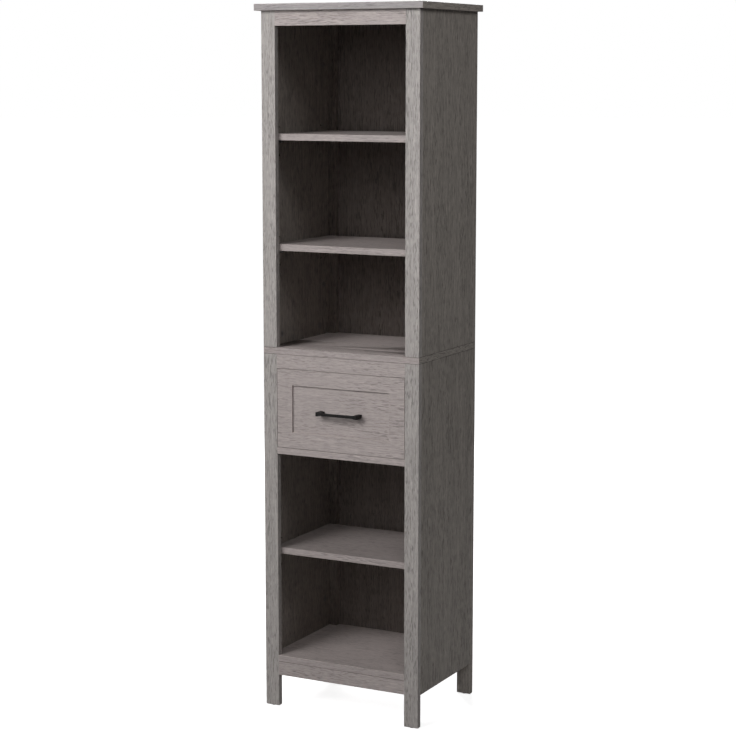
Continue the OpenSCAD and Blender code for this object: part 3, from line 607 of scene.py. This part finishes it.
def fastener_tree():
    """Sets a fastener on every point, with its Z axis along the point's aim and a seeded turn
    about it."""
    if "Set fasteners" in bpy.data.node_groups:
        return bpy.data.node_groups["Set fasteners"]
    tree = bpy.data.node_groups.new("Set fasteners", "GeometryNodeTree")
    face = tree.interface
    face.new_socket("Points", in_out="INPUT", socket_type="NodeSocketGeometry")
    for name, kind in (
            ("Fastener", "NodeSocketObject"), ("Finish", "NodeSocketMaterial"),
            ("Most turn", "NodeSocketFloat"), ("Seed", "NodeSocketInt")):
        face.new_socket(name, in_out="INPUT", socket_type=kind)
    face.new_socket("Fasteners", in_out="OUTPUT", socket_type="NodeSocketGeometry")
    new, link = tree.nodes.new, tree.links.new
    start, end = new("NodeGroupInput"), new("NodeGroupOutput")
    shape = new("GeometryNodeObjectInfo")
    aim = new("GeometryNodeInputNamedAttribute")
    aim.data_type = "FLOAT_VECTOR"
    aim.inputs["Name"].default_value = "aim"
    face_aim = new("FunctionNodeAlignRotationToVector")
    face_aim.axis = "Z"
    chance = new("FunctionNodeRandomValue")
    chance.data_type = "FLOAT"
    turn = new("ShaderNodeMath")
    turn.operation = "MULTIPLY"
    spin = new("FunctionNodeAxisAngleToRotation")
    spin.inputs["Axis"].default_value = (0, 0, 1)
    both = new("FunctionNodeRotateRotation")
    both.rotation_space = "LOCAL"
    scatter = new("GeometryNodeInstanceOnPoints")
    real = new("GeometryNodeRealizeInstances")
    paint = new("GeometryNodeSetMaterial")
    chosen = next(s for s in chance.outputs if s.enabled)
    link(start.outputs["Fastener"], shape.inputs["Object"])
    link(aim.outputs["Attribute"], face_aim.inputs["Vector"])
    link(start.outputs["Seed"], chance.inputs["Seed"])
    link(chosen, turn.inputs[0])
    link(start.outputs["Most turn"], turn.inputs[1])
    link(turn.outputs[0], spin.inputs["Angle"])
    link(face_aim.outputs[0], both.inputs["Rotation"])
    link(spin.outputs[0], both.inputs["Rotate By"])
    link(start.outputs["Points"], scatter.inputs["Points"])
    link(shape.outputs["Geometry"], scatter.inputs["Instance"])
    link(both.outputs[0], scatter.inputs["Rotation"])
    link(scatter.outputs[0], real.inputs[0])
    link(real.outputs[0], paint.inputs["Geometry"])
    link(start.outputs["Finish"], paint.inputs["Material"])
    link(paint.outputs[0], end.inputs[0])
    return tree


def set_fasteners(name, node, thing, spots, material, turn=0.0, seed=1):
    """One mesh of the same fastener at each (point, aim) of spots, in place of a CAD node. turn
    is the most that one of them is turned about its aim."""
    mesh = bpy.data.meshes.new(name + "_points")
    mesh.from_pydata([spot for spot, _ in spots], [], [])
    aims = mesh.attributes.new("aim", "FLOAT_VECTOR", "POINT")
    aims.data.foreach_set("vector", [v for _, aim in spots for v in aim])
    carrier = add(name + "_points", mesh)
    tree = fastener_tree()
    layout = carrier.modifiers.new("Fasteners", "NODES")
    layout.node_group = tree
    values = {"Fastener": thing, "Finish": material, "Most turn": turn, "Seed": seed}
    for item in tree.interface.items_tree:
        if item.in_out == "INPUT" and item.name in values:
            layout[item.identifier] = values[item.name]
    result = baked_mesh(carrier)
    bpy.data.objects.remove(carrier)
    bpy.data.objects.remove(thing)
    result.name = name
    if "aim" in result.attributes:
        result.attributes.remove(result.attributes["aim"])
    show(result, name, [node], [material])
    shade_smooth(result, SMOOTH_ANGLE)


def mirrored(spots):
    """Points and aims for both sides, from those on the +X side."""
    flip = Vector((-1, 1, 1))
    return spots + [(spot * flip, aim * flip) for spot, aim in spots]


# ---------------------------------------------------------------- operators


class TOWER_OT_uprights(bpy.types.Operator):
    """Side panels, stiles and legs, with the grain running up"""

    bl_idname = "tower.uprights"
    bl_label = "Side panels, stiles and legs"

    def execute(self, context):
        look = context.scene.tower_boards
        # The lower side panels are painted 5 % darker than the upper ones: painted shade, darker
        # towards the floor.
        panels = [
            (unit + "_side_" + side, shade)
            for unit, shade in (("upper", 1.0), ("lower", 0.95)) for side in ("left", "right")]
        for seed, (node, shade) in enumerate(panels):
            tint = [v * shade for v in look.side_tint]
            board(node, laminate(
                node + "_laminate", 2, 0, 1.3 + seed, tint, 1.25, edge_tint=(1.1, 1.1, 1.1)))
        # The front stiles' and legs' narrow faces are 1.17 times lighter: partly edge-band tone
        # and partly painted light on their jambs and side strips.
        stiles = [  # node, tint, lightness of the edges
            (kind + side, tint, edge) for kind, tint, edge in (
                ("upper_front_stile_", look.tint, 1.17), ("front_leg_", look.tint, 1.17),
                ("upper_rear_stile_", look.side_tint, 1.0), ("rear_leg_", look.side_tint, 1.0))
            for side in ("left", "right")]
        for seed, (node, tint, edge) in enumerate(stiles):
            board(node, laminate(
                node + "_laminate", 2, 1, 5.1 + 0.83 * seed, tint, edge_tint=(edge,) * 3))
        return {"FINISHED"}


class TOWER_OT_levels(bpy.types.Operator):
    """Top panel, mid board, divider, bottom panel, rails and loose shelves"""

    bl_idname = "tower.levels"
    bl_label = "Level boards and rails"

    def execute(self, context):
        look = context.scene.tower_boards
        # The ends of these two boards show beside the side panels and take their tint; the top
        # panel's end is painted 15 % lighter: painted light.
        ends = {
            node: laminate(node + "_end", 1, 0, seed, [v * lift for v in look.side_tint], 1.25)
            for node, seed, lift in (("top_panel", 30.2, 1.15), ("mid_board", 31.6, 1.0))}
        # Painted light and shade: the tops of the mid board and the bottom panel are painted 20 %
        # lighter and the lower shelf 10 % darker than the other level boards, and each front edge
        # is divided back to the level tint. The top panel's front edge is painted darker: painted
        # shade.
        flat = (  # node, lightness of the faces, tint of the front edge
            ("top_panel", 1.0, (0.84, 0.88, 0.91)),
            ("mid_board", 1.2, (0.95, 0.95, 0.95)),
            ("drawer_divider", 1.0, (1.06, 1.06, 1.06)),
            ("bottom_panel", 1.2, (0.95, 0.95, 0.95)),
            ("high_shelf", 1.0, (0.95, 0.95, 0.95)),
            ("middle_shelf", 1.0, (0.95, 0.95, 0.95)),
            ("lower_shelf", 0.9, (0.95, 0.95, 0.95)))
        for seed, (node, lift, edge) in enumerate(flat):
            tint = [v * lift for v in look.level_tint]
            finish = laminate(
                node + "_laminate", 0, 2, 2.2 + 0.91 * seed, tint, 0.66, [v / lift for v in edge])
            board(node, finish, ends=ends.get(node))
        for seed, node in enumerate(("top_rail", "drawer_rail", "apron_rail")):
            board(node, laminate(
                node + "_laminate", 0, 1, 9.4 + 0.77 * seed, look.level_tint, 0.75))
        return {"FINISHED"}


class TOWER_OT_backs(bpy.types.Operator):
    """Hardboard back panels: printed inside, bare at the rear"""

    bl_idname = "tower.backs"
    bl_label = "Back panels"

    def execute(self, context):
        tint = context.scene.tower_boards.back_tint
        bare = hardboard("bare_hardboard")
        for seed, node in enumerate(("upper_back_panel", "lower_back_panel")):
            board(node, laminate(node + "_print", 2, 1, 14.2 + seed, tint, 1.25), bare)
        return {"FINISHED"}


class TOWER_OT_drawer(bpy.types.Operator):
    """Drawer front with its sunk field, and the drawer box"""

    bl_idname = "tower.drawer"
    bl_label = "Drawer"

    def execute(self, context):
        look = context.scene.tower_boards
        # Its narrow faces are painted 15 % lighter: painted light in the shaded gaps round the
        # drawer front.
        board("drawer_front", laminate(
            "drawer_front_laminate", 0, 1, 17.3, look.level_tint, 0.70,
            edge_tint=(1.15, 1.15, 1.15)))
        for seed, node in enumerate(("drawer_side_left", "drawer_side_right")):
            board(node, laminate(node + "_laminate", 1, 0, 18.6 + seed, look.level_tint))
        board("drawer_back", laminate("drawer_back_laminate", 0, 1, 21.4, look.level_tint))
        board("drawer_bottom", laminate("drawer_bottom_print", 1, 2, 22.9, look.back_tint))
        return {"FINISHED"}


class TOWER_OT_handle(bpy.types.Operator):
    """Black bar handle with two feet"""

    bl_idname = "tower.handle"
    bl_label = "Handle"

    def execute(self, context):
        look = context.scene.tower_fittings
        black = powder_coat("handle_black_coat", look.black, 0.58, 1.5, 0.5, 0.28)
        bm = merged("drawer_handle")
        ease_edges(bm, look.handle_ease, least=0.002, segments=2, sharp=30.0)
        mesh = to_mesh(bm, "bar_handle")
        handle = show(mesh, "bar_handle", ["drawer_handle"], [black])
        shade_smooth(mesh, 40.0)
        even = handle.modifiers.new("Even shading", "WEIGHTED_NORMAL")
        even.keep_sharp = True
        return {"FINISHED"}


class TOWER_OT_runners(bpy.types.Operator):
    """Battens, runners and rollers"""

    bl_idname = "tower.runners"
    bl_label = "Runners and rollers"

    def execute(self, context):
        look = context.scene.tower_fittings
        paint = powder_coat("runner_paint", look.runner, 0.34, 1.1, 0.2)
        nylon = moulded("roller_nylon", look.nylon, 0.42)
        for seed, side in enumerate(("left", "right")):
            board(
                "runner_batten_" + side,
                raw_timber("batten_timber_" + side, 1, seed + 1, (0.56, 0.41, 0.26)))
            for kind in ("cabinet_runner_", "drawer_runner_"):
                smooth_part(kind + side, kind + side + "_section", paint)
            for kind in ("cabinet_roller_", "drawer_roller_"):
                smooth_part(kind + side, kind + side + "_wheel", nylon)
        return {"FINISHED"}


class TOWER_OT_pins(bpy.types.Operator):
    """Steel pins under the loose shelves"""

    bl_idname = "tower.pins"
    bl_label = "Shelf pins"

    def execute(self, context):
        steel = plated("pin_steel_plate", context.scene.tower_fittings.zinc, 0.30, 0.2)
        head_r = 4.0
        pin = turned("pin", [
            (0, 7.0), (3.1, 7.0), (3.7, 6.75), (head_r, 6.2), (head_r, 0.0), (2.5, 0.0),
            (2.5, -7.4), (1.9, -8.0), (0, -8.0)])
        inset = 37.0  # from the front and rear edges of the side panels
        spots = [
            (place(SIDE_X, y, z - head_r), LEFT)
            for z in SHELVES_Z for y in (SIDE_Y[0] + inset, SIDE_Y[1] - inset)]
        set_fasteners("shelf_pin_set", "shelf_pins", pin, mirrored(spots), steel)
        return {"FINISHED"}


class TOWER_OT_cams(bpy.types.Operator):
    """Cam locks, with the bolts that they pull, and dowels"""

    bl_idname = "tower.cams"
    bl_label = "Cam locks and bolts"

    @staticmethod
    def lock(name, height):
        """A drum of 15 mm with a rim and a cross in its face."""
        drum = turned(name, [
            (0, 0.0), (5.9, 0.0), (6.1, -0.25), (6.7, -0.25), (6.9, 0.0), (7.35, 0.0),
            (7.5, -0.2), (7.5, 0.4 - height), (7.1, -height), (0, -height)], 32)
        return cross_cut(drum, 8.6, 1.6, 0.0, 2.0)

    def execute(self, context):
        zinc = plated("cam_zinc_cast", (0.36, 0.34, 0.33), 0.60, 0.7, 0.45)
        steel = plated("bolt_steel_plate", context.scene.tower_fittings.zinc, 0.34, 1.4)
        front_y, rear_y = SIDE_Y[0] + CAM_REACH, SIDE_Y[1] - CAM_REACH
        spots = [  # side panels to stiles and legs
            (place(SIDE_X, y, z), LEFT) for z in (978, 1503, 197, 723) for y in (front_y, rear_y)]
        spots += [  # upper side panels to the mid board and the top panel
            (place(SIDE_X, y, z), LEFT)
            for z in (UPPER_Z + CAM_REACH, TOP_Z - CAM_REACH) for y in BOARD_CAMS_Y]
        spots += [  # lower side panels to the mid board
            (place(SIDE_X, y, MID_Z - CAM_REACH), LEFT) for y in (90, 212)]
        spots += [  # divider and bottom panel to the side panels, from below
            (place(SIDE_X - CAM_REACH, y, z), DOWN)
            for z in (DIVIDER_Z, BOTTOM_Z) for y in BOARD_CAMS_Y]
        drawer = [(place(BOX_X[0], front_y, z), LEFT) for z in BOX_JOINTS_Z]
        turn = math.radians(25)
        set_fasteners(
            "carcass_cam_set", "carcass_cam_locks", self.lock("drum", 12.5), mirrored(spots),
            zinc, turn, 3)
        set_fasteners(
            "drawer_cam_set", "drawer_cam_locks", self.lock("short_drum", 9.5),
            mirrored(drawer), zinc, turn, 4)
        for node in ("carcass_cam_bolts", "drawer_cam_bolts"):
            smooth_part(node, node + "_steel", steel)
        birch = raw_timber("dowel_birch", 0, 5, (0.6, 0.46, 0.3))
        smooth_part("wood_dowels", "birch_dowels", birch)
        return {"FINISHED"}


class TOWER_OT_screws(bpy.types.Operator):
    """Screws of the runners, the battens, the drawer box and the handle"""

    bl_idname = "tower.screws"
    bl_label = "Screws"

    @staticmethod
    def pan(length, head=3.5, lift=1.2, shank=1.75):
        """A screw with a domed head: its length, the radius and height of its head, and the
        radius of its shank."""
        dome = [(0, lift), (head * 0.45, lift * 0.97), (head * 0.72, lift * 0.80),
                (head * 0.92, lift * 0.50), (head, lift * 0.2), (head, 0.0)]
        screw = turned("pan_screw", dome + [(shank, 0.0), (shank, 2.0 - length), (0, -length)])
        return cross_cut(screw, head, head * 0.26, lift, lift * 0.75)

    @staticmethod
    def flush(length):
        """A countersunk screw."""
        screw = turned("flush_screw", [
            (0, 0.0), (3.1, 0.0), (3.4, -0.15), (1.75, -1.75), (1.75, 2.0 - length),
            (0, -length)])
        return cross_cut(screw, 3.6, 0.9, 0.0, 1.1)

    def execute(self, context):
        look = context.scene.tower_fittings
        zinc = plated("screw_zinc_plate", look.zinc, 0.32, 0.4)
        box_z, handle_z, handle_pitch = 644.0, 713.5, 96.0
        sets = (  # the places on the right, which are mirrored to the left
            ("runner_screw_set", "cabinet_runner_screws", self.pan(14.0),
             [(place(STILE_X - STEEL_T, y, ROLLER_Z), LEFT) for y in (61, 141, 221)]),
            ("batten_screw_set", "batten_screws", self.flush(30.0),
             [(place(STILE_X, y, 670.8), LEFT) for y in (70, 232)]),
            ("drawer_runner_screw_set", "drawer_runner_screws", self.pan(9.0),
             [(place(sum(BOX_X) / 2, y, box_z - STEEL_T), DOWN) for y in (52, 217)]),
            ("box_screw_set", "drawer_box_screws", self.flush(35.0),
             [(place(BOX_X[1], 259, z), RIGHT) for z in BOX_JOINTS_Z]),
            ("handle_screw_set", "handle_screws", self.pan(20.0, 3.5, 2.4, 1.8),
             [(place(handle_pitch / 2, BOARD_T, handle_z), BACK)]),
        )
        for seed, (name, node, screw, spots) in enumerate(sets):
            set_fasteners(name, node, screw, mirrored(spots), zinc, look.slot_turn, 10 + seed)
        return {"FINISHED"}


class TOWER_OT_nails(bpy.types.Operator):
    """Nails round the back panels"""

    bl_idname = "tower.nails"
    bl_label = "Back nails"

    def execute(self, context):
        steel = plated("nail_steel_plate", (0.50, 0.50, 0.50), 0.42, 2.1)
        nail = turned("nail", [
            (0, 0.7), (0.9, 0.66), (1.45, 0.48), (1.78, 0.18), (1.8, 0.0), (0.75, 0.0),
            (0.75, -12.0), (0, -14.0)], 16)
        spaces = 6  # between the nails along the side of a back panel
        spots = [
            (place(177, BACK_Y, low + (high - low) * i / spaces), BACK)
            for low, high in ((880, 1601), (132, 821)) for i in range(spaces + 1)]
        spots += [(place(STILE_X / 2, BACK_Y, z), BACK) for z in (854.25, 846.75, 616.5, 117.5)]
        set_fasteners("back_nail_set", "back_nails", nail, mirrored(spots), steel, 0.0, 20)
        return {"FINISHED"}


class TOWER_OT_glides(bpy.types.Operator):
    """Plastic glides under the legs"""

    bl_idname = "tower.glides"
    bl_label = "Glides"

    def execute(self, context):
        plastic = moulded("glide_plastic", (0.05, 0.05, 0.05), 0.5)
        smooth_part("leg_glides", "leg_glide_set", plastic)
        return {"FINISHED"}


class TOWER_OT_stage(bpy.types.Operator):
    """Pale floor, soft lamps and the camera"""

    bl_idname = "tower.stage"
    bl_label = "Floor, lamps and camera"

    # Name of lamp and setting, place and aim, width and height in metres, spread in degrees,
    # and the pieces that it lights, which are all where there is no name
    LAMPS = (
        ("key", (-0.8, -3.0, 3.2), (0, -0.14, 1.6), 0.9, 0.7, 50, "front"),
        ("low", (-1.5, -3.2, 2.2), (0, 0, 0.7), 2.4, 1.3, 90, "front"),
        ("fill", (1.9, -2.8, 2.6), (0, 0, 1.1), 2.0, 1.7, 100, "front_and_right"),
        ("inner", (0.3, -3.4, 2.4), (0, 0, 1.0), 2.0, 1.4, 120, "inside"),
        ("cross", (2.4, -1.4, 3.4), (-0.1, -0.1, 1.0), 1.2, 1.0, 120, "inside"),
        ("side", (2.6, 0.3, 3.1), (0.2, 0, 1.0), 1.0, 1.0, 120, None),
        ("left", (-3.0, 0.2, 2.2), (-0.2, 0, 1.0), 1.4, 1.4, 120, "left"),
        ("rear", (-2.0, 3.4, 2.3), (0, 0.1, 0.8), 1.8, 1.4, 120, None))
    FLOOR_R, FLOOR_Z = 60, -0.0002  # metres
    CAMERA_AT = (2.1068, -4.0503, 1.4874)  # metres
    CAMERA_PITCH, CAMERA_TURN = 8.53, 27.5024  # degrees down, and round from the front

    @staticmethod
    def lamp(name, at, towards, power, wide, tall, spread):
        """A soft lamp that doesn't show in the picture itself."""
        data = bpy.data.lights.new(name, "AREA")
        data.shape, data.energy = "RECTANGLE", power
        data.size, data.size_y, data.spread = wide, tall, math.radians(spread)
        lamp = add(name, data)
        lamp.location = at
        lamp.rotation_euler = (Vector(towards) - Vector(at)).to_track_quat("-Z", "Y").to_euler()
        lamp.visible_camera = False
        return lamp

    def floor(self):
        """A wide pale disc that the camera sees as nearly white and the lamps as grey."""
        turns = [math.radians(degrees) for degrees in range(0, 360, 6)]
        ring = [
            (self.FLOOR_R * math.cos(a), self.FLOOR_R * math.sin(a), self.FLOOR_Z) for a in turns]
        mesh = bpy.data.meshes.new("pale_floor")
        mesh.from_pydata(ring, [], [list(range(len(ring)))])
        floor = add("pale_floor", mesh)
        r = Recipe("pale_floor_paint")
        # The camera sees the floor darken a little under the piece and turn white further off
        away = r.node("ShaderNodeVectorMath", {"operation": "LENGTH"}, {
            0: r.vector(r.axis(0), r.axis(1), 0.0)}, output="Value")
        grain = r.noise(r.vector(r.axis(0) * 9.0, r.axis(1) * 9.0, 0.0), 3.0, 0.5)
        glow = r.band(away, 0.5, 2.6, 0.80, 1.02) + (grain - 0.5) * 0.004
        grey = r.node("ShaderNodeBsdfDiffuse", {}, {"Color": (0.42, 0.42, 0.42, 1.0)})
        pale = r.node("ShaderNodeBsdfDiffuse", {}, {"Color": (0.85, 0.85, 0.85, 1.0)})
        shine = r.node("ShaderNodeEmission", {}, {"Color": (1, 1, 1, 1), "Strength": glow})
        both = r.node("ShaderNodeAddShader", {}, {0: pale, 1: shine})
        seen = r.node("ShaderNodeLightPath", output="Is Camera Ray")
        out = r.node("ShaderNodeMixShader", {}, {0: seen, 1: grey, 2: both})
        end = r.tree.nodes.new("ShaderNodeOutputMaterial")
        r.tree.links.new(out.socket, end.inputs["Surface"])
        mesh.materials.append(r.material)

    @staticmethod
    def lit_groups():
        """Pieces by the lamps that reach them, so that the compartments stay darker than the
        front."""
        groups = {
            name: bpy.data.collections.new("lit_" + name)
            for name in ("front", "front_and_right", "left", "inside")}
        inside = (
            "upper_side_left", "lower_side_left", "upper_back", "lower_back", "carcass_cam",
            "shelf_pin")
        left = ("upper_side_left", "lower_side_left", "upper_rear_stile_left", "rear_leg_left")
        right = (
            "upper_side_right", "lower_side_right", "upper_rear_stile_right", "rear_leg_right")
        for piece in [thing for thing in bpy.data.objects if thing.type == "MESH"]:
            if piece.name.startswith(left):
                groups["left"].objects.link(piece)
            if piece.name.startswith(inside):
                groups["inside"].objects.link(piece)
            elif not piece.name.startswith(left):
                groups["front_and_right"].objects.link(piece)
                if not piece.name.startswith(right):
                    groups["front"].objects.link(piece)
        return groups

    @staticmethod
    def air(strength):
        """White behind everything for the camera, and a dim light from all round."""
        world = bpy.data.worlds.new("soft_air")
        bpy.context.scene.world = world
        world.use_nodes = True
        tree = world.node_tree
        tree.nodes.clear()
        seen = tree.nodes.new("ShaderNodeLightPath")
        dim, white = tree.nodes.new("ShaderNodeBackground"), tree.nodes.new("ShaderNodeBackground")
        dim.inputs["Strength"].default_value = strength
        dim.inputs["Color"].default_value = (1, 1, 1, 1)
        white.inputs["Color"].default_value = (1, 1, 1, 1)
        mix, out = tree.nodes.new("ShaderNodeMixShader"), tree.nodes.new("ShaderNodeOutputWorld")
        tree.links.new(seen.outputs["Is Camera Ray"], mix.inputs[0])
        tree.links.new(dim.outputs[0], mix.inputs[1])
        tree.links.new(white.outputs[0], mix.inputs[2])
        tree.links.new(mix.outputs[0], out.inputs["Surface"])

    def execute(self, context):
        scene, look = context.scene, context.scene.tower_stage
        scene.view_settings.view_transform = "Standard"
        scene.view_settings.look = "None"
        self.floor()
        self.air(look.air)
        groups = self.lit_groups()
        for name, at, towards, wide, tall, spread, group in self.LAMPS:
            lamp = self.lamp(name + "_lamp", at, towards, getattr(look, name), wide, tall, spread)
            if group:
                lamp.light_linking.receiver_collection = groups[group]
        camera = add("camera", bpy.data.cameras.new("camera"))
        camera.data.lens, camera.data.sensor_width = look.focal, 36
        camera.location = self.CAMERA_AT
        camera.rotation_euler = (
            math.radians(90 - self.CAMERA_PITCH), 0, math.radians(self.CAMERA_TURN))
        scene.camera = camera
        return {"FINISHED"}


class TOWER_PT_panel(bpy.types.Panel):
    """Buttons and settings of the tower"""

    bl_idname = "TOWER_PT_panel"
    bl_label = "Storage tower"
    bl_space_type = "VIEW_3D"
    bl_region_type = "UI"
    bl_category = "Tower"

    def draw(self, context):
        for owner in ("tower_boards", "tower_fittings", "tower_stage"):
            box = self.layout.box()
            settings = getattr(context.scene, owner)
            for name in settings.__annotations__:
                box.prop(settings, name)
        for step in STEPS:
            self.layout.operator(step.bl_idname)


STEPS = (
    TOWER_OT_uprights, TOWER_OT_levels, TOWER_OT_backs, TOWER_OT_drawer, TOWER_OT_handle,
    TOWER_OT_runners, TOWER_OT_pins, TOWER_OT_cams, TOWER_OT_screws, TOWER_OT_nails,
    TOWER_OT_glides, TOWER_OT_stage)
GROUPS = (
    ("tower_boards", BoardSettings), ("tower_fittings", FittingSettings),
    ("tower_stage", StageSettings))


def register():
    for name, group in GROUPS:
        bpy.utils.register_class(group)
        setattr(bpy.types.Scene, name, bpy.props.PointerProperty(type=group))
    for step in STEPS:
        bpy.utils.register_class(step)
    bpy.utils.register_class(TOWER_PT_panel)


def unregister():
    bpy.utils.unregister_class(TOWER_PT_panel)
    for step in reversed(STEPS):
        bpy.utils.unregister_class(step)
    for name, group in reversed(GROUPS):
        delattr(bpy.types.Scene, name)
        bpy.utils.unregister_class(group)


def main():
    register()
    for step in STEPS:
        group, name = step.bl_idname.split(".")
        getattr(getattr(bpy.ops, group), name)()


if __name__ == "__main__":
    main()
